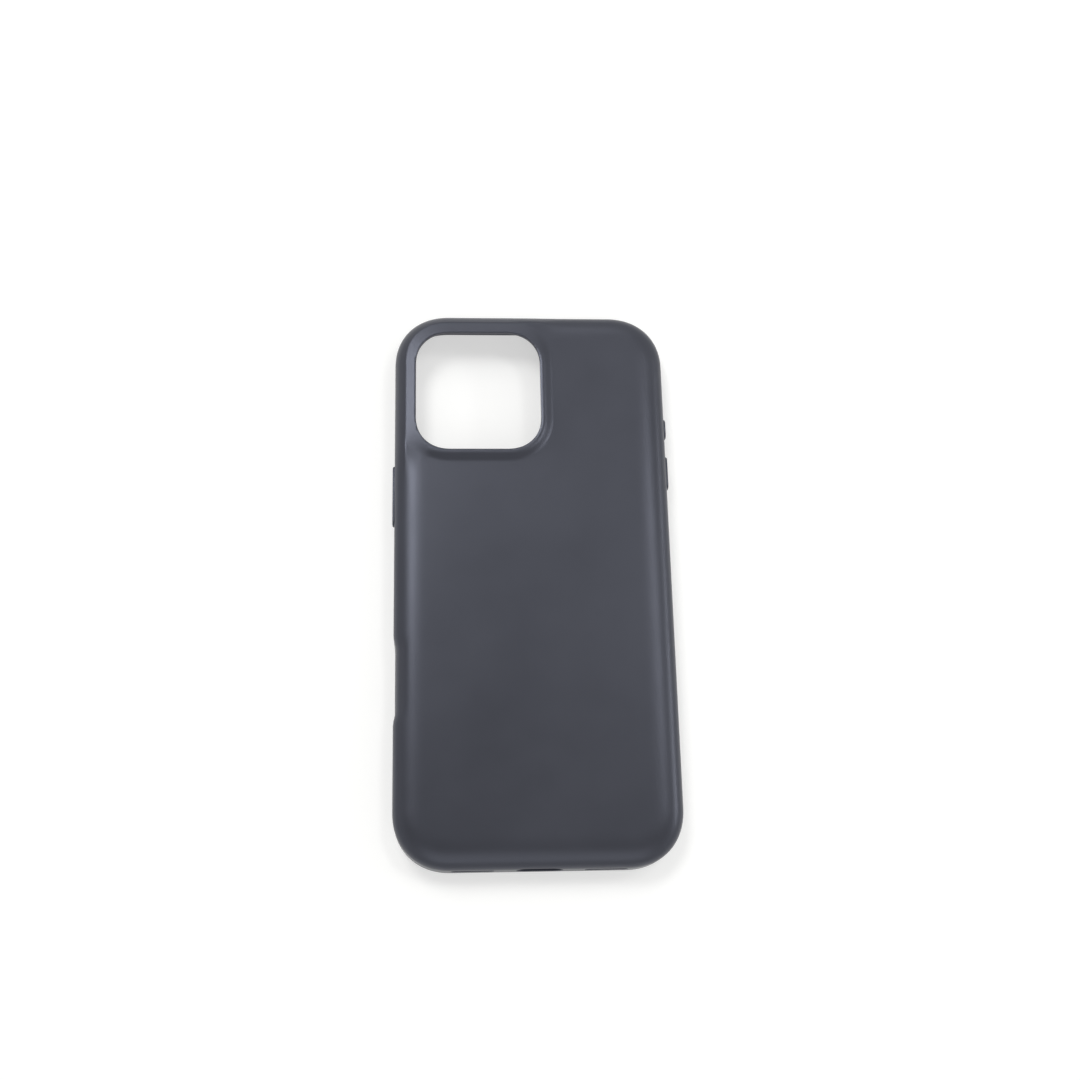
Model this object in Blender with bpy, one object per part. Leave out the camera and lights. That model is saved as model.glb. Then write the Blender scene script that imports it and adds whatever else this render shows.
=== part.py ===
"""Silicone case for a large phone, one moulded piece.

It lies on its rim with the open screen side down and the back up (+Z).
The camera end points to +Y, so the camera window is at the upper left in a view of the back.
The origin is under the middle of the case, on the plane of the rim. All lengths are in metres.
"""

import math

import bmesh
import bpy

# The phone that the case is moulded round
PHONE_WIDTH = 0.0776
PHONE_LENGTH = 0.1630
PHONE_DEPTH = 0.00825

# Walls and lip: the lip stands over the edge of the screen and holds the phone in
SIDE_WALL = 0.0018
BACK_WALL = 0.0016
LIP_HEIGHT = 0.0012
LIP_REACH = 0.0005

# Plan corners ease into the straight sides, so they follow a superellipse and not a plain arc
CORNER_REACH = 0.0165
CORNER_EASE = 2.2

# Rounded edges of the section: the shoulder is steep at the wall and eases slowly into the back
SHOULDER_WIDTH = 0.0100
SHOULDER_HEIGHT = 0.0042
SHOULDER_EASE = 3.0
RIM_RADIUS = 0.0011
LIP_RADIUS = 0.0004
FLOOR_RADIUS = 0.0020

# Camera window: a short upright wall under its rounded edge, then a taper that widens to the inside
WINDOW_WIDTH = 0.0374
WINDOW_LENGTH = 0.0377
WINDOW_FROM_SIDE = 0.0063
WINDOW_FROM_TOP = 0.0068
WINDOW_CORNER_REACH = 0.0104
WINDOW_EDGE_RADIUS = 0.0005
WINDOW_WALL = 0.0011
WINDOW_TAPER = 0.75

# Raised ring that keeps the lenses off a table: it slopes out to the back, and ends steeply
# where it comes this close to the side of the case
RING_HEIGHT = 0.0007
RING_CREST = 0.0003
RING_REACH = 0.0042
RING_SKIRT = 0.0020
RING_FROM_SIDE = 0.0029
RING_END_DRAFT = 0.0007

# Key covers, proud of the long sides, with a relief behind each for the phone's own key
UPPER_COVER_FROM_TOP = 0.0330
UPPER_COVER_LENGTH = 0.0062
LOWER_COVER_FROM_TOP = 0.0451
LOWER_COVER_LENGTH = 0.0103
POWER_COVER_FROM_TOP = 0.0482
POWER_COVER_LENGTH = 0.0186
COVER_HEIGHT = 0.0034
COVER_PROUD = 0.0006
COVER_RAMP = 0.0007
RELIEF_DEPTH = 0.0008

# Scooped opening for the slide control on the power key's side
SCOOP_FROM_TOP = 0.1008
SCOOP_LENGTH = 0.0250
SCOOP_DEPTH = 0.0007
SCOOP_RAMP = 0.0036
SCOOP_FADE = 0.0016
CONTROL_SLOT_LENGTH = 0.0156
CONTROL_SLOT_HEIGHT = 0.0044

# Openings of the bottom end
PORT_WIDTH = 0.0130
PORT_HEIGHT = 0.0050
SPEAKER_SLOT_WIDTH = 0.0120
SPEAKER_SLOT_HEIGHT = 0.0026
SPEAKER_SLOT_OFFSET = 0.0185
OPENING_FLARE = 0.0004

# Facets
CORNER_STEPS = 12
SHOULDER_STEPS = 10
RING_STEPS = 7
SMALL_ARC_STEPS = 4
RAMP_STEPS = 3
PILL_ARC_STEPS = 7
LEAST_STEP = 0.0001
SMOOTH_LIMIT = math.radians(40)

# How far a cutter runs past the wall it opens, and how deep the ring is sunk to join the back
CUT_PAST = 0.0020
RING_SUNK = 0.0012
RING_FOOT_SUNK = 0.00005
CREST_CLEAR = 0.00002

# Finish of moulded silicone rubber
SILICONE_COLOUR = (0.075, 0.080, 0.100, 1.0)
SILICONE_ROUGHNESS = 0.6

CASE_WIDTH = PHONE_WIDTH + 2 * SIDE_WALL
CASE_LENGTH = PHONE_LENGTH + 2 * SIDE_WALL
FLOOR_Z = LIP_HEIGHT + PHONE_DEPTH
BACK_Z = FLOOR_Z + BACK_WALL
MIDDLE_Z = LIP_HEIGHT + PHONE_DEPTH / 2
TOP_Y = CASE_LENGTH / 2
RIGHT, LEFT = 1, -1

KEY_COVERS = (
    (RIGHT, UPPER_COVER_FROM_TOP, UPPER_COVER_LENGTH),
    (RIGHT, LOWER_COVER_FROM_TOP, LOWER_COVER_LENGTH),
    (LEFT, POWER_COVER_FROM_TOP, POWER_COVER_LENGTH),
)


def clear_scene():
    for old in list(bpy.data.objects):
        bpy.data.objects.remove(old, do_unlink=True)


def silicone():
    material = bpy.data.materials.new("moulded_silicone")
    material.use_nodes = True
    shader = material.node_tree.nodes["Principled BSDF"]
    shader.inputs["Base Color"].default_value = SILICONE_COLOUR
    shader.inputs["Roughness"].default_value = SILICONE_ROUGHNESS
    shader.inputs["Metallic"].default_value = 0.0
    material.diffuse_color = SILICONE_COLOUR
    return material


def eased(share):
    """A rise from 0 to 1 that starts and ends level."""
    share = max(0.0, min(1.0, share))
    return share * share * (3 - 2 * share)


def plateau(value, low, high, ramp):
    """0 outside low to high and 1 inside, with an eased ramp at both ends."""
    return eased(min(value - low, high - value) / min(ramp, (high - low) / 2))


def ramp_stops(low, high, ramp, steps):
    """Where a plateau needs points: along both of its ramps."""
    ramp = min(ramp, (high - low) / 2)
    up = [low + ramp * step / steps for step in range(steps + 1)]
    return up + [low + high - stop for stop in reversed(up)]


def span_from_top(from_top, length):
    """The low and high Y of a feature placed from the camera end."""
    return TOP_Y - from_top - length, TOP_Y - from_top


def cover_levels():
    return MIDDLE_Z - COVER_HEIGHT / 2, MIDDLE_Z + COVER_HEIGHT / 2


def cover_share(side, y, z):
    """1 on a key cover, 0 away from it, between the two on its ramps."""
    low_z, high_z = cover_levels()
    share = 0.0
    for cover_side, from_top, length in KEY_COVERS:
        if cover_side == side:
            low, high = span_from_top(from_top, length)
            share = max(share, plateau(y, low, high, COVER_RAMP))
    return share * plateau(z, low_z, high_z, COVER_RAMP)


def outer_shift(side, y, z):
    """How far the outer wall stands out at this place: key covers are proud, the scoop is sunk."""
    shift = COVER_PROUD * cover_share(side, y, z)
    if side == LEFT:
        low, high = span_from_top(SCOOP_FROM_TOP, SCOOP_LENGTH)
        along = plateau(y, low, high, SCOOP_RAMP)
        shift -= SCOOP_DEPTH * along * plateau(z, 0, BACK_Z, SCOOP_FADE)
    return shift


def inner_shift(side, y, z):
    """How far the pocket's wall is let into the side behind a key cover."""
    return RELIEF_DEPTH * cover_share(side, y, z)


def no_shift(side, y, z):
    """For an outline with plain sides."""
    return 0.0


def side_stops(side, reach):
    """The Y places of the points along one long side, from -reach to reach."""
    stops = [-reach, reach]
    for cover_side, from_top, length in KEY_COVERS:
        if cover_side == side:
            stops += ramp_stops(*span_from_top(from_top, length), COVER_RAMP, RAMP_STEPS)
    if side == LEFT:
        stops += ramp_stops(*span_from_top(SCOOP_FROM_TOP, SCOOP_LENGTH), SCOOP_RAMP, RAMP_STEPS + 1)
    return sorted({round(stop, 7) for stop in stops if -reach <= stop <= reach})


def corner(centre_x, centre_y, reach, start, steps):
    """Points of one eased corner, the ends left out, from angle start over a quarter turn."""
    points = []
    for step in range(1, steps):
        angle = start + math.pi / 2 * step / steps
        cosine, sine = math.cos(angle), math.sin(angle)
        x = centre_x + reach * math.copysign(abs(cosine) ** (2 / CORNER_EASE), cosine)
        y = centre_y + reach * math.copysign(abs(sine) ** (2 / CORNER_EASE), sine)
        points.append((x, y))
    return points


def case_ring(inset, z, shift):
    """One closed ring of the shell, anticlockwise from the low end of the right side."""
    reach = CORNER_REACH - inset
    across = CASE_WIDTH / 2 - inset
    along = CASE_LENGTH / 2 - inset
    run_x = CASE_WIDTH / 2 - CORNER_REACH
    run_y = CASE_LENGTH / 2 - CORNER_REACH
    right = [(across + shift(RIGHT, y, z), y) for y in side_stops(RIGHT, run_y)]
    left = [(-across - shift(LEFT, y, z), y) for y in reversed(side_stops(LEFT, run_y))]
    points = list(right)
    points += corner(run_x, run_y, reach, 0, CORNER_STEPS)
    points += [(run_x, along), (-run_x, along)]
    points += corner(-run_x, run_y, reach, math.pi / 2, CORNER_STEPS)
    points += left
    points += corner(-run_x, -run_y, reach, math.pi, CORNER_STEPS)
    points += [(-run_x, -along), (run_x, -along)]
    points += corner(run_x, -run_y, reach, 3 * math.pi / 2, CORNER_STEPS)
    return [(x, y, z) for x, y in points]


def arc(centre_inset, centre_z, radius_inset, radius_z, start, end, steps):
    """(inset, z) points of a quarter of an ellipse in the section, both ends included."""
    points = []
    for step in range(steps + 1):
        angle = math.radians(start + (end - start) * step / steps)
        points.append((centre_inset - radius_inset * math.cos(angle), centre_z + radius_z * math.sin(angle)))
    return points


def wall_levels(low, high):
    """Heights of the rings on a wall: its ends, and the ramps of the key covers between them."""
    stops = ramp_stops(*cover_levels(), COVER_RAMP, 2)
    return [stop for stop in stops if low + LEAST_STEP < stop < high - LEAST_STEP]


def shoulder(start_z):
    """(inset, z) points from the top of the wall to the flat back."""
    points = []
    for step in range(SHOULDER_STEPS + 1):
        angle = math.pi / 2 * step / SHOULDER_STEPS
        share = max(0.0, math.cos(angle)) ** (2 / SHOULDER_EASE)
        points.append((SHOULDER_WIDTH * (1 - share), start_z + SHOULDER_HEIGHT * math.sin(angle)))
    return points


def outer_section():
    """The outside, from the rim's flat to the edge of the flat back."""
    shoulder_z = BACK_Z - SHOULDER_HEIGHT
    section = arc(RIM_RADIUS, RIM_RADIUS, RIM_RADIUS, RIM_RADIUS, -90, 0, SMALL_ARC_STEPS + 1)
    section += [(0.0, z) for z in wall_levels(RIM_RADIUS, shoulder_z)]
    return section + shoulder(shoulder_z)


def inner_section():
    """The inside, from the pocket's floor to the rim's flat."""
    floor_start = FLOOR_Z - FLOOR_RADIUS
    nose = SIDE_WALL + LIP_REACH
    floor_edge = SIDE_WALL + FLOOR_RADIUS
    section = arc(floor_edge, floor_start, FLOOR_RADIUS, FLOOR_RADIUS, 90, 0, SMALL_ARC_STEPS)
    section += [(SIDE_WALL, z) for z in reversed(wall_levels(LIP_HEIGHT, floor_start))]
    section.append((SIDE_WALL, LIP_HEIGHT))
    section += lip_nose(nose - LIP_RADIUS, LIP_HEIGHT - LIP_RADIUS, 90, 0)
    section += lip_nose(nose - LIP_RADIUS, LIP_RADIUS, 0, -90)
    return section


def lip_nose(centre_inset, centre_z, start, end):
    """A rounded edge of the lip, which points inwards."""
    return arc(centre_inset, centre_z, -LIP_RADIUS, LIP_RADIUS, start, end, SMALL_ARC_STEPS - 1)


def loft(name, rings):
    """A closed mesh through rings of equally many points, with a flat cap on the first and the last."""
    mesh = bpy.data.meshes.new(name)
    shape = bmesh.new()
    rows = [[shape.verts.new(point) for point in ring] for ring in rings]
    for lower, upper in zip(rows, rows[1:]):
        for index in range(len(lower)):
            after = (index + 1) % len(lower)
            shape.faces.new((lower[index], lower[after], upper[after], upper[index]))
    shape.faces.new(reversed(rows[0]))
    shape.faces.new(rows[-1])
    bmesh.ops.recalc_face_normals(shape, faces=shape.faces)
    shape.to_mesh(mesh)
    shape.free()
    made = bpy.data.objects.new(name, mesh)
    bpy.context.scene.collection.objects.link(made)
    return made


def make_shell():
    rings = [case_ring(inset, z, inner_shift) for inset, z in inner_section()]
    rings += [case_ring(inset, z, outer_shift) for inset, z in outer_section()]
    return loft("phone_case", rings)


def window_ring(outset, z):
    """A rounded square that lies this far outside the camera window."""
    centre_x = -CASE_WIDTH / 2 + WINDOW_FROM_SIDE + WINDOW_WIDTH / 2
    centre_y = TOP_Y - WINDOW_FROM_TOP - WINDOW_LENGTH / 2
    reach = WINDOW_CORNER_REACH + outset
    run_x = WINDOW_WIDTH / 2 - WINDOW_CORNER_REACH
    run_y = WINDOW_LENGTH / 2 - WINDOW_CORNER_REACH
    points = []
    for quarter, (sign_x, sign_y) in enumerate(((1, 1), (-1, 1), (-1, -1), (1, -1))):
        corner_x = centre_x + sign_x * run_x
        corner_y = centre_y + sign_y * run_y
        start = quarter * math.pi / 2
        first = (corner_x + reach * math.cos(start), corner_y + reach * math.sin(start))
        last = (corner_x - reach * math.sin(start), corner_y + reach * math.cos(start))
        points += [first, *corner(corner_x, corner_y, reach, start, CORNER_STEPS), last]
    return [(x, y, z) for x, y in points]


def make_camera_ring():
    """The raised ring as a low block, which the window is then cut through."""
    rings = [window_ring(RING_REACH + RING_SKIRT, BACK_Z - RING_SUNK)]
    for step in range(RING_STEPS + 1):
        share = step / RING_STEPS
        outset = RING_REACH - (RING_REACH - RING_CREST) * share
        height = (RING_HEIGHT + RING_FOOT_SUNK) * eased(share) - RING_FOOT_SUNK
        rings.append(window_ring(outset, BACK_Z + height))
    return loft("camera_ring_block", rings)


def make_ring_limit():
    """The plan outline that keeps the ring off the rounded side of the case."""
    high_inset = RING_FROM_SIDE + RING_END_DRAFT
    return loft("camera_ring_limit", [
        case_ring(RING_FROM_SIDE, BACK_Z - RING_SUNK - CUT_PAST, no_shift),
        case_ring(RING_FROM_SIDE, BACK_Z - RING_SUNK, no_shift),
        case_ring(high_inset, BACK_Z + RING_HEIGHT + CREST_CLEAR, no_shift),
    ])


def make_window_cutter():
    """A cutter through ring and back, flared at the top so that the ring's inner edge is round."""
    top = BACK_Z + RING_HEIGHT + CREST_CLEAR
    low = FLOOR_Z - CUT_PAST
    taper_top = top - WINDOW_WALL
    flare = arc(WINDOW_EDGE_RADIUS, top - WINDOW_EDGE_RADIUS, WINDOW_EDGE_RADIUS, WINDOW_EDGE_RADIUS,
                0, 90, SMALL_ARC_STEPS)
    rings = [window_ring(WINDOW_TAPER * (taper_top - low), low), window_ring(0.0, taper_top)]
    rings += [window_ring(outset, z) for outset, z in flare]
    rings.append(window_ring(WINDOW_EDGE_RADIUS, top + CUT_PAST))
    return loft("window_cutter", rings)


def pill(width, height, grow):
    """(across, up) points of a slot with round ends, grown all round."""
    radius = height / 2 + grow
    run = (width - height) / 2
    points = []
    for end, start in ((1, -90), (-1, 90)):
        for step in range(PILL_ARC_STEPS + 1):
            angle = math.radians(start + 180 * step / PILL_ARC_STEPS)
            points.append((end * run + radius * math.cos(angle), radius * math.sin(angle)))
    return points


def make_pill_cutter(name, width, height, place):
    """A slot's cutter, flared where it leaves the outer face. place turns (across, up, depth) to a point."""
    depths = ((SIDE_WALL + CUT_PAST, 0.0), (OPENING_FLARE, 0.0), (0.0, OPENING_FLARE), (-CUT_PAST, CUT_PAST))
    rings = []
    for depth, grow in depths:
        rings.append([place(across, up, depth) for across, up in pill(width, height, grow)])
    return loft(name, rings)


def bottom_cutter(name, width, height, centre_x):
    return make_pill_cutter(
        name, width, height,
        lambda across, up, depth: (centre_x + across, -CASE_LENGTH / 2 + depth, MIDDLE_Z + up),
    )


def control_cutter():
    low, high = span_from_top(SCOOP_FROM_TOP, SCOOP_LENGTH)
    outer_x = -CASE_WIDTH / 2 + SCOOP_DEPTH
    return make_pill_cutter(
        "control_slot_cutter", CONTROL_SLOT_LENGTH, CONTROL_SLOT_HEIGHT,
        lambda across, up, depth: (outer_x + depth, (low + high) / 2 + across, MIDDLE_Z + up),
    )


def combine(body, other, operation):
    """Joins other to body, or cuts it away, and hides it as the helper that it is."""
    boolean = body.modifiers.new(other.name, "BOOLEAN")
    boolean.operation = operation
    boolean.solver = "EXACT"
    boolean.object = other
    other.hide_render = True
    other.display_type = "WIRE"


def build():
    clear_scene()
    case = make_shell()
    camera_ring = make_camera_ring()
    combine(camera_ring, make_ring_limit(), "INTERSECT")
    combine(case, camera_ring, "UNION")
    combine(case, make_window_cutter(), "DIFFERENCE")
    combine(case, control_cutter(), "DIFFERENCE")
    combine(case, bottom_cutter("port_cutter", PORT_WIDTH, PORT_HEIGHT, 0.0), "DIFFERENCE")
    for side, name in ((LEFT, "speaker_cutter"), (RIGHT, "microphone_cutter")):
        cutter = bottom_cutter(name, SPEAKER_SLOT_WIDTH, SPEAKER_SLOT_HEIGHT, side * SPEAKER_SLOT_OFFSET)
        combine(case, cutter, "DIFFERENCE")
    case.data.materials.append(silicone())
    case.data.shade_smooth()
    case.data.set_sharp_from_angle(angle=SMOOTH_LIMIT)


build()
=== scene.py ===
import math

import bmesh
import bpy
from mathutils import Matrix, Vector


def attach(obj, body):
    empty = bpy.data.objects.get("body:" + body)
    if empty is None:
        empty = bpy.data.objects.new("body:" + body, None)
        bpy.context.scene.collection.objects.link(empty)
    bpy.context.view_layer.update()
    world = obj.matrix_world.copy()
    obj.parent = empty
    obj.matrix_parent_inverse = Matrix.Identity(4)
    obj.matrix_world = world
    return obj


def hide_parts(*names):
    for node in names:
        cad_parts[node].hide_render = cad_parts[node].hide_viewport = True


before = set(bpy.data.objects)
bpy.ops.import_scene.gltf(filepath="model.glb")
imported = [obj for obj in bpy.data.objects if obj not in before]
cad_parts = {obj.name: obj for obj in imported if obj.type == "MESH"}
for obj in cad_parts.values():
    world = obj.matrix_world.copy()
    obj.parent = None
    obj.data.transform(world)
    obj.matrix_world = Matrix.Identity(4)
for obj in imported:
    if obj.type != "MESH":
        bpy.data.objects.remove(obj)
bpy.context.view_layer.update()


# The moulded case. The real piece is one skin of liquid silicone rubber, injected round a steel core and
# stripped off it: back, side walls, and the lip that hangs over the edge of the screen. It is modelled in
# millimetres, from a plate with eased corners raised wall by wall outside and sunk the same way inside.

WIDTH, LENGTH = 81.2, 166.6
BACK_Z, FLOOR_Z = 11.05, 9.45
CORNER_REACH = 16.5
EASED, EXPONENT = 0.5325, 2.2  # the same eased corner, as a bevel's profile and as a formula's power
SHOULDER_WIDTH, SHOULDER_HEIGHT = 10.0, 4.2
RIM_RADIUS = 1.1
WALL, LIP_INSET = 1.8, 2.3
LIP_HEIGHT, LIP_RADIUS = 1.2, 0.4
POCKET_RADIUS = 2.0


def start_plate(name, width, length, centre, corner_reach, segments):
    """A flat plate with eased corners, left in edit mode with its face selected."""
    bpy.ops.object.select_all(action="DESELECT")
    bpy.ops.mesh.primitive_plane_add(size=1)
    plate = bpy.context.object
    plate.name = name
    bpy.ops.object.mode_set(mode="EDIT")
    bpy.ops.transform.resize(value=(width, length, 1), center_override=(0, 0, 0))
    bpy.ops.transform.translate(value=centre)
    bpy.ops.mesh.bevel(offset=corner_reach, segments=segments, profile=EASED, affect="VERTICES",
                       clamp_overlap=False)
    return plate


def pick(plate, test, kind="FACE"):
    """Selects faces by their middle and normal, or edges by their middle and run, and nothing else."""
    bpy.ops.mesh.select_mode(type=kind)
    bpy.ops.mesh.select_all(action="DESELECT")
    mesh = bmesh.from_edit_mesh(plate.data)
    if kind == "FACE":
        chosen = [face for face in mesh.faces if test(face.calc_center_median(), face.normal)]
    else:
        chosen = [edge for edge in mesh.edges
                  if test((edge.verts[0].co + edge.verts[1].co) / 2, edge.verts[1].co - edge.verts[0].co)]
    for item in chosen:
        item.select_set(True)
    mesh.select_flush_mode()
    bmesh.update_edit_mesh(plate.data)


def step_in(inset, rise):
    """Makes the selected face smaller by this much all round, then moves it along Z."""
    bpy.ops.mesh.inset(thickness=inset)
    bpy.ops.transform.translate(value=(0, 0, rise))


def step_up(rise):
    """Draws the selected face straight up, or down when the rise is negative."""
    bpy.ops.mesh.extrude_region_move(TRANSFORM_OT_translate={"value": (0, 0, rise)})


def follow(section):
    """Takes the selected face along a section of (inset, z) points, inwards and up or down."""
    for (inset, z), (next_inset, next_z) in zip(section, section[1:]):
        if next_inset - inset > 0.0001:
            step_in(next_inset - inset, next_z - z)
        else:
            step_up(next_z - z)


def quarter(inset, z, radius, start, end, steps):
    """Points of a rounded edge of the section round a centre, between two angles in degrees."""
    angles = [math.radians(start + (end - start) * step / steps) for step in range(steps + 1)]
    return [(inset + radius * math.cos(angle), z + radius * math.sin(angle)) for angle in angles]


# The straight sides are divided first, so that the ring and the scoop have points to move
case = start_plate("silicone_case", WIDTH, LENGTH, (0, 0, RIM_RADIUS), CORNER_REACH, 26)
bpy.ops.mesh.delete(type="ONLY_FACE")
pick(case, lambda middle, along: abs(along.y) > 100, "EDGE")
bpy.ops.mesh.subdivide(number_cuts=266)
pick(case, lambda middle, along: abs(along.x) > 30, "EDGE")
bpy.ops.mesh.subdivide(number_cuts=71)
bpy.ops.mesh.select_all(action="SELECT")
bpy.ops.mesh.edge_face_add()

# Outside: up the wall, with close levels at the upper and lower edges of the key covers, then over the
# shoulder, which is steep at the wall and eases slowly into the flat back
wall_levels = [1.1, 1.9, 2.7, 3.4, 3.6, 3.85, 4.1, 4.3, 5.3, 6.3, 6.5, 6.75, 6.85]
shoulder_insets = [0.06, 0.2, 0.4, 0.65, 0.95, 1.3, 1.7, 2.1, 2.5, 2.8, 3.05, 3.3, 3.6, 4.0, 4.5, 5.0,
                   5.6, 6.2, 6.8, 7.5, 8.2, 9.0, 10.0]
section = [(0, level) for level in wall_levels]
for inset in shoulder_insets:
    share = 1 - inset / SHOULDER_WIDTH
    section.append((inset, BACK_Z - SHOULDER_HEIGHT * (1 - math.sqrt(1 - share ** 3))))
pick(case, lambda middle, normal: True)
follow(section)

# Inside: round the rim to the lip's edge, back out over the lip to the pocket's wall, and up the wall
# into the pocket's floor. Inset can't widen a face, so over the lip it is scaled to each step's size.
pick(case, lambda middle, along: middle.z < RIM_RADIUS + 0.01, "EDGE")
bpy.ops.mesh.edge_face_add()
bpy.ops.mesh.select_mode(type="FACE")
lip_middle = LIP_INSET - LIP_RADIUS
follow(quarter(RIM_RADIUS, RIM_RADIUS, RIM_RADIUS, 180, 270, 5)
       + quarter(lip_middle, LIP_RADIUS, LIP_RADIUS, 270, 360, 4)
       + [(LIP_INSET, LIP_HEIGHT - LIP_RADIUS)])
over_lip = quarter(lip_middle, LIP_HEIGHT - LIP_RADIUS, LIP_RADIUS, 0, 90, 4)[1:] + [(WALL, LIP_HEIGHT)]
for inset, z in over_lip:
    mesh = bmesh.from_edit_mesh(case.data)
    level = next(vert.co.z for vert in mesh.verts if vert.select)
    across = max(vert.co.x for vert in mesh.verts if vert.select)
    along = max(vert.co.y for vert in mesh.verts if vert.select)
    step_up(z - level)
    bpy.ops.transform.resize(value=((WIDTH / 2 - inset) / across, (LENGTH / 2 - inset) / along, 1),
                             center_override=(0, 0, z))
follow([(WALL, LIP_HEIGHT), (WALL, 3.3), (WALL, 5.3)]
       + quarter(WALL + POCKET_RADIUS, FLOOR_Z - POCKET_RADIUS, POCKET_RADIUS, 180, 90, 8))
bpy.ops.mesh.select_all(action="SELECT")
bpy.ops.mesh.normals_make_consistent(inside=False)


# The raised camera ring. On the real case it is part of the same moulding: the back swells up round the
# window to keep the lenses off a table. Beside the walls it runs into the shoulder as a narrow band that
# slopes outwards and breaks off steeply. The back is scored into a fine grid, raised, and cut through.

WINDOW_WIDTH, WINDOW_LENGTH = 37.4, 37.7
WINDOW_X, WINDOW_Y = -15.6, 57.65
WINDOW_REACH, WINDOW_EDGE = 10.4, 0.3
RING_HEIGHT, RING_SPREAD = 0.69, 3.8
CREST_WIDTH, CREST_ROUND = 0.9, 0.2
RING_RIGHT, RING_LOW = 9.4, 31.6
RING_SWAY = 15
BAND_INSET, BAND_TILT, BAND_BREAK = 3.3, 0.16, 1.3


def eased(share):
    """A rise from 0 to 1 that starts and ends level."""
    share = max(0.0, min(1.0, share))
    return share * share * (3 - 2 * share)


def outside(x, y, width, length, reach):
    """How far a place lies outside an eased rectangle round the origin, negative inside it."""
    across = abs(x) - (width / 2 - reach)
    along = abs(y) - (length / 2 - reach)
    if across > 0 and along > 0:
        return (across ** EXPONENT + along ** EXPONENT) ** (1 / EXPONENT) - reach
    return max(across, along) - reach


def on_flat_back(middle, normal):
    return normal.z > 0.999 and middle.z > BACK_Z - 0.0002


def in_ring_zone(middle, normal):
    return on_flat_back(middle, normal) and middle.x < RING_RIGHT and middle.y > RING_LOW


def score(direction, places, test):
    """Cuts the faces that pass the test along lines across X or Y at these places."""
    for place in places:
        pick(case, test)
        co = (place, 0, 0) if direction == "X" else (0, place, 0)
        no = (1, 0, 0) if direction == "X" else (0, 1, 0)
        bpy.ops.mesh.bisect(plane_co=co, plane_no=no)


def spread(*stretches):
    """Places along a line, from stretches of (low, high, spacing)."""
    places = []
    for low, high, spacing in stretches:
        steps = round((high - low) / spacing)
        places += [(low + (high - low) * step / steps) for step in range(steps)]
    return places


score("X", [RING_RIGHT], on_flat_back)
score("Y", [RING_LOW], on_flat_back)
score("X", spread((-30.1, -21.5, 0.6), (-21.5, -8.5, 2.6), (-8.5, 9.2, 0.5)), in_ring_zone)
score("Y", spread((32.0, 49.5, 0.5), (49.5, 66.0, 2.75), (66.0, 73.2, 0.6)), in_ring_zone)

# gap is how far a point lies from the window, and room how far from the case's outline. Where both are
# small, beside is near 1 and the point joins the band beside the wall; elsewhere it joins the soft swell.
mesh = bmesh.from_edit_mesh(case.data)
for vert in mesh.verts:
    x, y, z = vert.co
    gap = outside(x - WINDOW_X, y - WINDOW_Y, WINDOW_WIDTH, WINDOW_LENGTH, WINDOW_REACH)
    if z < BACK_Z - SHOULDER_HEIGHT + 0.01 or vert.normal.z < 0.01 or gap > RING_SWAY:
        continue
    room = -outside(x, y, WIDTH, LENGTH, CORNER_REACH)
    beside = (1 - eased((room + gap - 8) / 8)) * (1 - eased((gap - 6) / 9))
    near = max(beside, 1 - eased((gap - 1.5) / 7.5))

    # Near the window and along the band, a steep fall takes the place of the shoulder's slow one
    drop = BACK_Z - z
    inset = SHOULDER_WIDTH * (1 - (1 - (1 - drop / SHOULDER_HEIGHT) ** 2) ** (1 / 3))
    share = max(0.0, 1 - inset / BAND_INSET)
    band_drop = SHOULDER_HEIGHT * (1 - math.sqrt(max(0.0, 1 - share ** BAND_BREAK)))

    if gap > CREST_WIDTH:
        swell = RING_HEIGHT * eased(1 - (gap - CREST_WIDTH) / (RING_SPREAD - CREST_WIDTH))
    else:
        swell = RING_HEIGHT - CREST_ROUND * min(CREST_WIDTH - gap, 1.5) ** 2
    band = RING_HEIGHT - BAND_TILT * min(max(gap, 0.0), RING_HEIGHT / BAND_TILT)
    vert.co.z = z + (drop - band_drop) * near + swell + (band - swell) * beside
bmesh.update_edit_mesh(case.data)
bpy.ops.object.mode_set(mode="OBJECT")


def close(plate):
    """Fills the open loop that the first extrusion of a plate left, and turns all faces outwards."""
    bpy.ops.mesh.select_all(action="DESELECT")
    bpy.ops.mesh.select_mode(type="EDGE")
    bpy.ops.mesh.select_non_manifold()
    bpy.ops.mesh.edge_face_add()
    bpy.ops.mesh.select_all(action="SELECT")
    bpy.ops.mesh.normals_make_consistent(inside=False)
    bpy.ops.object.mode_set(mode="OBJECT")


def combine(body, tool, operation):
    """Joins the tool's solid to the body or cuts it away, applies that, and clears the tool."""
    bpy.ops.object.select_all(action="DESELECT")
    bpy.context.view_layer.objects.active = body
    body.select_set(True)
    step = body.modifiers.new("combine", "BOOLEAN")
    step.operation, step.solver, step.object = operation, "MANIFOLD", tool
    bpy.ops.object.modifier_apply(modifier=step.name)
    bpy.data.objects.remove(tool)


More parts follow.
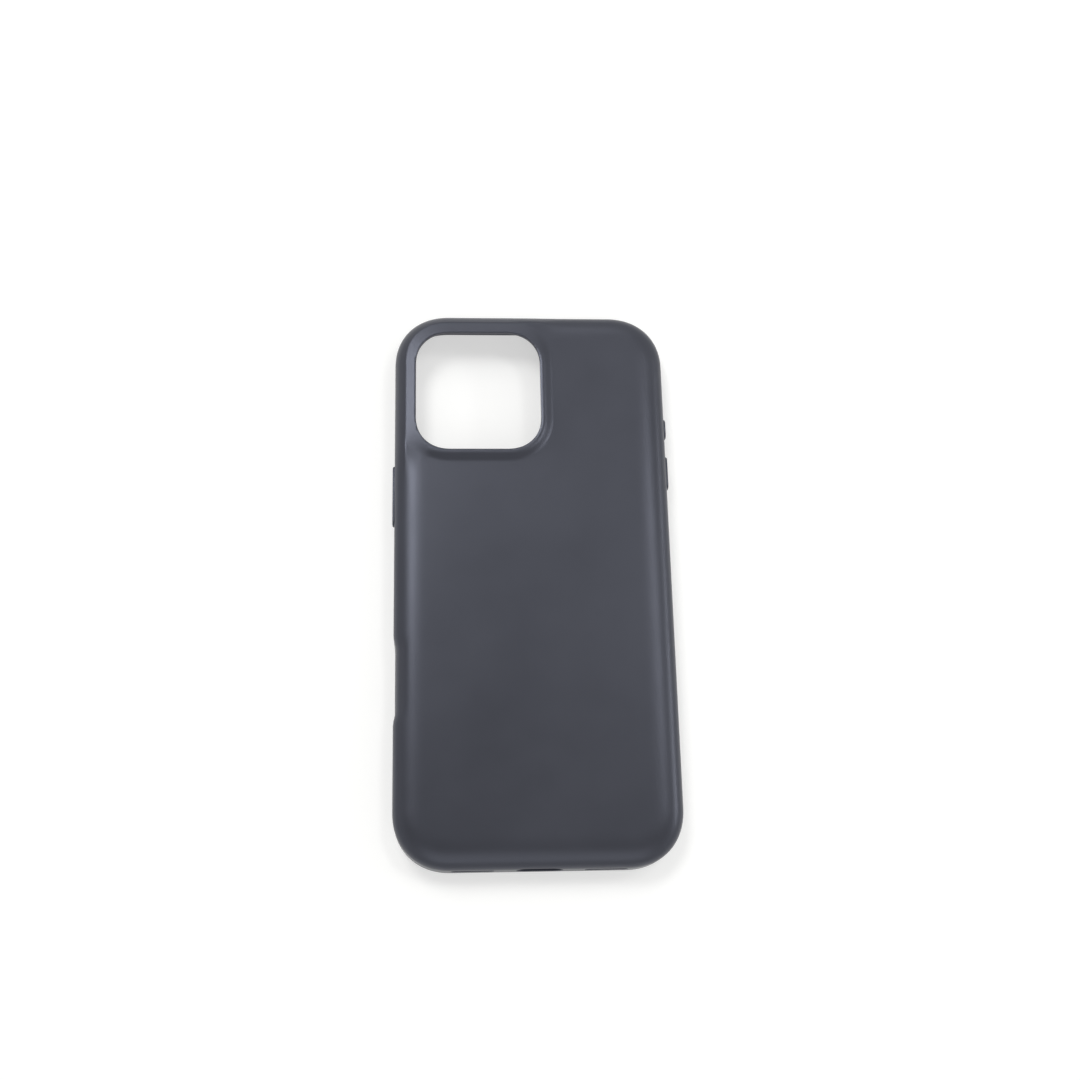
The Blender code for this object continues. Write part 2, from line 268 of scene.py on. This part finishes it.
# The window's cutter: round at its upper edge, upright, then wider below so that the inside is chamfered
ring_top = BACK_Z + RING_HEIGHT - 0.025
upright, chamfer_depth, chamfer_width = 1.1, 3.2, 4.8
cutter = start_plate("window_cutter", WINDOW_WIDTH + 2 * WINDOW_EDGE, WINDOW_LENGTH + 2 * WINDOW_EDGE,
                     (WINDOW_X, WINDOW_Y, ring_top + 2), WINDOW_REACH + WINDOW_EDGE, 24)
round_edge = quarter(WINDOW_EDGE, ring_top - WINDOW_EDGE, WINDOW_EDGE, 90, 180, 6)
follow([(0, ring_top + 2)] + [(WINDOW_EDGE - inset, z) for inset, z in round_edge]
       + [(WINDOW_EDGE, ring_top - upright)])
step_up(-chamfer_depth)
bpy.ops.transform.resize(value=((WINDOW_WIDTH + chamfer_width) / WINDOW_WIDTH,
                                (WINDOW_LENGTH + chamfer_width) / WINDOW_LENGTH, 1),
                         center_override=(WINDOW_X, WINDOW_Y, 0))
close(cutter)
combine(case, cutter, "DIFFERENCE")


# The key covers. The real ones are not separate buttons but thin, proud pads of the same rubber, which
# bend when a finger presses them, with a relief behind each for the phone's own key.

KEY_LINE_Z = 5.325
COVER_HEIGHT, COVER_PROUD, COVER_DEPTH = 3.4, 0.6, 1.6
RELIEF_HEIGHT, RELIEF_MARGIN = 2.6, 0.5


def rounded_block(name, size, middle, corner_radius, edge_radius, outer):
    """A block with rounded corners in the view along X, and a rounded edge round its outer face."""
    bpy.ops.object.select_all(action="DESELECT")
    bpy.ops.mesh.primitive_cube_add(size=1)
    block = bpy.context.object
    block.name = name
    bpy.ops.object.mode_set(mode="EDIT")
    bpy.ops.transform.resize(value=size, center_override=(0, 0, 0))
    pick(block, lambda middle, along: abs(along.x) > size[0] / 2, "EDGE")
    bpy.ops.mesh.bevel(offset=corner_radius, segments=8, affect="EDGES")
    pick(block, lambda middle, along: middle.x * outer > size[0] / 2 - 0.001, "EDGE")
    bpy.ops.mesh.bevel(offset=edge_radius, segments=4, affect="EDGES")
    bpy.ops.mesh.select_all(action="SELECT")
    bpy.ops.transform.translate(value=middle)
    bpy.ops.mesh.normals_make_consistent(inside=False)
    bpy.ops.object.mode_set(mode="OBJECT")
    return block


for side, from_top, length in ((1, 33.0, 6.2), (1, 45.1, 10.3), (-1, 48.2, 18.6)):
    along = LENGTH / 2 - (from_top + length / 2)
    pad = rounded_block("key_cover", (COVER_DEPTH, length, COVER_HEIGHT),
                        (side * (WIDTH / 2 + COVER_PROUD - COVER_DEPTH / 2), along, KEY_LINE_Z),
                        1.3, 0.4, side)
    combine(case, pad, "UNION")
    relief = rounded_block("key_relief", (COVER_DEPTH, length - 2 * RELIEF_MARGIN, RELIEF_HEIGHT),
                           (side * (WIDTH / 2 - WALL), along, KEY_LINE_Z), 0.9, 0.3, side)
    combine(case, relief, "DIFFERENCE")


# The openings. Each is moulded through the wall with a rounded mouth: the slide control's in a long
# shallow scoop for a fingertip, and the port and the two sound slots in the bottom end.

SCOOP_NEAR, SCOOP_FAR = 100.3, 126.3  # where it starts and ends, from the top end
SCOOP_DEPTH, SCOOP_RAMP, SCOOP_FADE = 0.7, 4.4, 1.6


def plateau(value, low, high, ramp):
    """1 between low and high, eased to 0 at both ends."""
    return eased(min(value - low, high - value) / ramp)


def slot_cutter(name, width, height, mouth, place):
    """A cutter for a slot with round ends and a rounded mouth, made lying along X and then placed."""
    bpy.ops.object.select_all(action="DESELECT")
    bpy.ops.mesh.primitive_cube_add(size=1)
    cutter = bpy.context.object
    cutter.name = name
    bpy.ops.object.mode_set(mode="EDIT")
    bpy.ops.transform.resize(value=(width, 4, height), center_override=(0, 0, 0))
    bpy.ops.transform.translate(value=(0, 2, 0))
    pick(cutter, lambda middle, along: abs(along.y) > 3, "EDGE")
    bpy.ops.mesh.bevel(offset=height / 2 - 0.001, segments=12, affect="EDGES")
    pick(cutter, lambda middle, normal: normal.y < -0.9)
    bpy.ops.transform.translate(value=(0, mouth, 0))
    grown = 0.0
    for angle in (20, 40, 60, 75, 90):
        grow = mouth * (1 - math.cos(math.radians(angle)))
        depth = mouth * (1 - math.sin(math.radians(angle)))
        mesh = bmesh.from_edit_mesh(cutter.data)
        level = next(vert.co.y for vert in mesh.verts if vert.select)
        bpy.ops.mesh.extrude_region_move(TRANSFORM_OT_translate={"value": (0, depth - level, 0)})
        wider = (width + 2 * grow) / (width + 2 * grown)
        higher = (height + 2 * grow) / (height + 2 * grown)
        bpy.ops.transform.resize(value=(wider, 1, higher), center_override=(0, 0, 0))
        grown = grow
    bpy.ops.mesh.extrude_region_move(TRANSFORM_OT_translate={"value": (0, -2, 0)})
    bpy.ops.mesh.select_all(action="SELECT")
    bpy.ops.mesh.normals_make_consistent(inside=False)
    bpy.ops.object.mode_set(mode="OBJECT")
    cutter.data.transform(place)
    return cutter


# Only the outer skin of the wall moves in for the scoop, so the pocket keeps its width
scoop_low, scoop_high = LENGTH / 2 - SCOOP_FAR, LENGTH / 2 - SCOOP_NEAR
for vert in case.data.vertices:
    if vert.co.x < -WIDTH / 2 + 10 and scoop_low < vert.co.y < scoop_high:
        inset = -outside(vert.co.x, vert.co.y, WIDTH, LENGTH, CORNER_REACH)
        skin = inset < 1.2 or vert.co.z > FLOOR_Z + 0.01 or (vert.co.z > 8.7 and inset < WALL)
        if skin:
            deep = (plateau(vert.co.y, scoop_low, scoop_high, SCOOP_RAMP)
                    * plateau(vert.co.z, 0, BACK_Z, SCOOP_FADE))
            vert.co.x += SCOOP_DEPTH * deep

# Each cutter's mouth stands 0.01 mm proud of its wall, because faces that coincide would leave a skin
proud = 0.01
place = (Matrix.Translation((-WIDTH / 2 + SCOOP_DEPTH - proud, (scoop_low + scoop_high) / 2, KEY_LINE_Z))
         @ Matrix.Rotation(math.radians(-90), 4, "Z"))
combine(case, slot_cutter("control_cutter", 15.6, 4.4, 0.4, place), "DIFFERENCE")
for across, width, height in ((0, 13.0, 5.0), (-18.5, 12.0, 2.6), (18.5, 12.0, 2.6)):
    place = Matrix.Translation((across, -LENGTH / 2 - proud, KEY_LINE_Z))
    combine(case, slot_cutter("end_cutter", width, height, 0.2, place), "DIFFERENCE")

# To metres only now, because the cutting tools work more surely at the larger scale
case.data.transform(Matrix.Scale(0.001, 4))
bpy.ops.object.select_all(action="DESELECT")
bpy.context.view_layer.objects.active = case
case.select_set(True)
bpy.ops.object.shade_smooth_by_angle(angle=math.radians(35))


def linear(code):
    """The linear colour of an sRGB hex code."""
    parts = [int(code[place:place + 2], 16) / 255 for place in (1, 3, 5)]
    return tuple(part / 12.92 if part <= 0.04045 else ((part + 0.055) / 1.055) ** 2.4
                 for part in parts) + (1.0,)


def add_node(tree, kind, settings=None, links=None):
    """Adds a node, sets its properties and inputs, and links outputs to its inputs."""
    node = tree.nodes.new(kind)
    for name, value in (settings or {}).items():
        if name in node.inputs:
            node.inputs[name].default_value = value
        else:
            setattr(node, name, value)
    for name, output in (links or {}).items():
        tree.links.new(output, node.inputs[name])
    return node


# Liquid silicone rubber, moulded in a tool with a fine spark-eroded finish and coated soft to the touch.
# To the eye it is a dark slate that stays matt, with broad, soft, slightly blue highlights where the
# shoulder turns, and a tone and gloss that drift a little over the back. The tool's grain is under 0.1 mm
# on the real case and would be lost, so it is drawn at 0.35 mm.
GRAIN_SIZE, DRIFT_SIZE = 0.00035, 0.022

silicone = bpy.data.materials.new("moulded_silicone")
silicone.use_nodes = True
tree = silicone.node_tree
shader = tree.nodes["Principled BSDF"]
shader.inputs["IOR"].default_value = 1.43
shader.inputs["Specular IOR Level"].default_value = 0.88
shader.inputs["Specular Tint"].default_value = linear("#dde3f8")
spot = add_node(tree, "ShaderNodeTexCoord").outputs["Object"]
grain = add_node(tree, "ShaderNodeTexNoise", {"Scale": 1 / GRAIN_SIZE, "Detail": 2.0, "Roughness": 0.6},
                 {"Vector": spot}).outputs["Fac"]
drift = add_node(tree, "ShaderNodeTexNoise", {"Scale": 1 / DRIFT_SIZE, "Detail": 3.0, "Roughness": 0.55},
                 {"Vector": spot}).outputs["Fac"]
tone = add_node(tree, "ShaderNodeMapRange", {"From Min": 0.3, "From Max": 0.7}, {"Value": drift})
shade = add_node(tree, "ShaderNodeMix", {"data_type": "RGBA"}, {"Factor": tone.outputs["Result"]})
shade.inputs["A"].default_value = linear("#35363c")
shade.inputs["B"].default_value = linear("#37383e")
tree.links.new(shade.outputs["Result"], shader.inputs["Base Color"])
gloss = add_node(tree, "ShaderNodeMapRange",
                 {"From Min": 0.3, "From Max": 0.7, "To Min": 0.32, "To Max": 0.37}, {"Value": drift})
tree.links.new(gloss.outputs["Result"], shader.inputs["Roughness"])
bump = add_node(tree, "ShaderNodeBump", {"Strength": 0.12, "Distance": 0.00004}, {"Height": grain})
tree.links.new(bump.outputs["Normal"], shader.inputs["Normal"])
case.data.materials.clear()
case.data.materials.append(silicone)

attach(case, "root")
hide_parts("phone_case")


# The studio. The floor is one plain sheet of pale paper, and five soft lamps and a white room light the
# case at a plain level.

PAPER_LIFT = 0.52

bpy.ops.object.select_all(action="DESELECT")
bpy.ops.mesh.primitive_plane_add(size=6)
floor = bpy.context.object
floor.name = "floor"

# Uncoated paper, pale grey and matt. It keeps the case's shadow, and the lift turns it white for the
# camera and in reflections without more light on the case.
paper = bpy.data.materials.new("pale_paper")
paper.use_nodes = True
sheet = paper.node_tree.nodes["Principled BSDF"]
sheet.inputs["Base Color"].default_value = linear("#c7c7c5")
sheet.inputs["Roughness"].default_value = 0.9
sheet.inputs["Emission Color"].default_value = linear("#fafafa")
rays = add_node(paper.node_tree, "ShaderNodeLightPath").outputs
lift = add_node(paper.node_tree, "ShaderNodeMath", {"operation": "ADD"},
                {0: rays["Is Camera Ray"], 1: rays["Is Glossy Ray"]})
lift = add_node(paper.node_tree, "ShaderNodeMath", {"operation": "ADD"},
                {0: lift.outputs["Value"], 1: rays["Is Transmission Ray"]})
lift = add_node(paper.node_tree, "ShaderNodeMath", {"operation": "MULTIPLY"}, {0: lift.outputs["Value"]})
lift.inputs[1].default_value = PAPER_LIFT
paper.node_tree.links.new(lift.outputs["Value"], sheet.inputs["Emission Strength"])
floor.data.materials.append(paper)


def softbox(name, direction, width, depth, turn, power):
    """A soft rectangular lamp a metre from the case, its width level until it is turned by degrees."""
    lamp = bpy.data.lights.new(name, "AREA")
    lamp.shape, lamp.size, lamp.size_y, lamp.energy = "RECTANGLE", width, depth, power
    held = bpy.data.objects.new(name, lamp)
    bpy.context.scene.collection.objects.link(held)
    held.location = Vector(direction).normalized()
    aimed = (-held.location).to_track_quat("-Z", "Y").to_matrix()
    held.rotation_euler = (aimed @ Matrix.Rotation(math.radians(turn), 3, "Z")).to_euler()


# The key lamp draws the long highlight of the left shoulder, and the side and rim lamps the two of the
# right shoulder
softbox("key_softbox", (-0.312, 0.43, 0.87), 0.30, 0.36, -60, 3.4)
softbox("top_softbox", (-0.06, 0.70, 0.72), 0.60, 0.20, 0, 0.75)
softbox("side_softbox", (0.39, 0.25, 0.89), 0.28, 0.15, 0, 1.3)
softbox("rim_softbox", (0.84, 0.10, 0.48), 0.50, 0.12, 0, 1.4)
softbox("front_softbox", (0.0, -0.63, 0.77), 0.80, 0.60, 0, 1.6)

# The room is bright round the horizon, where the steep edges of the case mirror it, and dim overhead
world = bpy.data.worlds.new("white_room")
bpy.context.scene.world = world
world.use_nodes = True
room = world.node_tree
sky = add_node(room, "ShaderNodeTexCoord").outputs["Generated"]
height = add_node(room, "ShaderNodeSeparateXYZ", None, {"Vector": sky}).outputs["Z"]
glow = add_node(room, "ShaderNodeMapRange",
                {"interpolation_type": "SMOOTHSTEP", "From Min": 0.5, "From Max": 0.92,
                 "To Min": 0.64, "To Max": 0.13}, {"Value": height})
seen = add_node(room, "ShaderNodeLightPath").outputs["Is Camera Ray"]
strength = add_node(room, "ShaderNodeMath", {"operation": "MAXIMUM"},
                    {0: glow.outputs["Result"], 1: seen})
room.nodes["Background"].inputs["Color"].default_value = (1, 1, 1, 1)
room.links.new(strength.outputs["Value"], room.nodes["Background"].inputs["Strength"])
bpy.context.scene.view_settings.view_transform = "Standard"

# The camera stands 42 cm over the floor, beyond the bottom end and left of the middle, and looks up the
# back, as in the photograph
camera = bpy.data.objects.new("camera", bpy.data.cameras.new("camera"))
bpy.context.scene.collection.objects.link(camera)
camera.data.sensor_width = 36
camera.data.lens = 1470 / 1080 * 36
turned = Vector([math.radians(angle) for angle in (17.557, -3.766, -0.741)])
camera.matrix_world = (Matrix.Translation((-0.02667, -0.1185, 0.41874))
                       @ Matrix.Rotation(turned.length, 4, turned.normalized()))
bpy.context.scene.camera = camera

bpy.context.view_layer.update()
